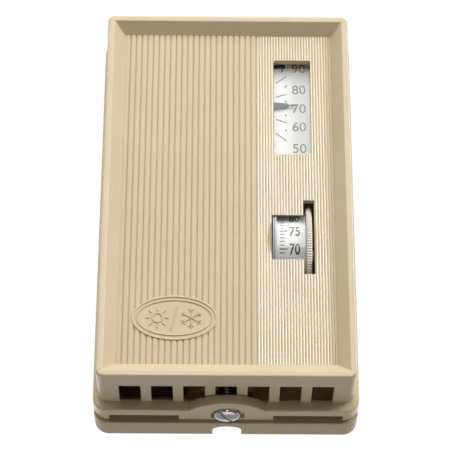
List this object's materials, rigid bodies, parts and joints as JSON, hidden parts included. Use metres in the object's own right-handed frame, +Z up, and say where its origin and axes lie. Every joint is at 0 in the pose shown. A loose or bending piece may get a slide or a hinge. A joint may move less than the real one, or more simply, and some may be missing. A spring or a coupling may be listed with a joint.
{
  "type": "wall thermostat",
  "caption": "Upright beige wall thermostat with a ribbed lift-off cover, a thermometer window, a setpoint thumbwheel with a numbered drum, and vents at the bottom.",
  "frame": {"origin": "on the back of the base, on the wall, level with the middle of the cover's front", "axes": "+Z up, +X to the right as seen from the room, +Y into the wall; the front faces -Y"},
  "size_m": [0.073, 0.0313, 0.1208],
  "materials": {
    "cover_plastic": "moulded beige plastic with a satin gloss, ribbed on the front",
    "base_plastic": "moulded beige plastic, satin",
    "clear_plastic": "clear polished plastic",
    "dial_white": "white enamel on sheet metal with black printing",
    "drum_white": "white plastic with black printing",
    "wheel_cream": "cream plastic, finely knurled rim",
    "pointer_black": "black enamel",
    "spring_steel": "plain spring steel",
    "plain_steel": "zinc-plated steel",
    "screw_chrome": "bright plated steel",
    "brass": "plain brass",
    "bimetal": "bimetal strip, copper-toned",
    "contact_silver": "silver contact alloy",
    "board_brown": "brown insulating board",
    "magnet_grey": "dark sintered magnet"
  },
  "bodies": {
    "base": {"base_plate": "base_plastic", "cover_clip_left": "spring_steel", "cover_clip_right": "spring_steel", "shaft_bracket_left": "plain_steel", "bracket_screw_left": "plain_steel", "shaft_bracket_right": "plain_steel", "bracket_screw_right": "plain_steel", "lever_bracket": "plain_steel", "lever_pin": "spring_steel", "fixed_contact": "brass", "contact_screw": "contact_silver", "blade_magnet": "magnet_grey", "terminal_board": "board_brown", "terminal_plate_1": "brass", "terminal_screw_1": "plain_steel", "terminal_plate_2": "brass", "terminal_screw_2": "plain_steel", "terminal_plate_3": "brass", "terminal_screw_3": "plain_steel", "terminal_plate_4": "brass", "terminal_screw_4": "plain_steel", "anticipator_card": "board_brown", "anticipator_wire": "spring_steel", "anticipator_rivet": "brass"},
    "cover": {"cover_shell": "cover_plastic", "thermometer_lens": "clear_plastic", "setpoint_lens": "clear_plastic", "screw_nut": "plain_steel", "thermometer_dial": "dial_white", "thermometer_coil": "bimetal", "thermometer_bracket": "spring_steel", "coil_anchor": "brass", "dial_screw_upper": "plain_steel", "dial_screw_lower": "plain_steel"},
    "cover_screw": {"cover_screw": "screw_chrome"},
    "pointer": {"thermometer_pointer": "pointer_black", "pointer_staff": "spring_steel"},
    "setpoint": {"setpoint_drum": "drum_white", "thumbwheel": "wheel_cream", "setpoint_shaft": "plain_steel", "setpoint_cam": "brass", "shaft_clip": "spring_steel"},
    "lever": {"follower_lever": "spring_steel", "bimetal_blade": "bimetal", "moving_contact": "contact_silver"},
    "anticipator": {"anticipator_arm": "brass"}
  },
  "joints": [
    {"name": "cover_slide", "type": "slide", "parent": "base", "child": "cover", "axis": [0, -1, 0], "range_m": [0, 0.04]},
    {"name": "cover_screw_turn", "type": "hinge", "parent": "cover", "child": "cover_screw", "pos_m": [0.0003, -0.0121, -0.06], "axis": [0, 0, 1], "range_deg": [-360, 0]},
    {"name": "pointer_turn", "type": "hinge", "parent": "cover", "child": "pointer", "pos_m": [0.003, -0.024, 0.0305], "axis": [0, 1, 0], "range_deg": [-38, 45]},
    {"name": "setpoint_turn", "type": "hinge", "parent": "base", "child": "setpoint", "pos_m": [0.02, -0.016, -0.01375], "axis": [1, 0, 0], "range_deg": [-96, 62]},
    {"name": "lever_turn", "type": "hinge", "parent": "base", "child": "lever", "pos_m": [0.0057, -0.006, -0.0035], "axis": [1, 0, 0], "range_deg": [-2.2, 2.9]},
    {"name": "anticipator_turn", "type": "hinge", "parent": "base", "child": "anticipator", "pos_m": [-0.019, -0.0045, 0.006], "axis": [0, 1, 0], "range_deg": [-45, 45]}
  ],
  "couplings": [
    {"joint": "lever_turn", "follows": "setpoint_turn", "ratio": -0.03}
  ]
}
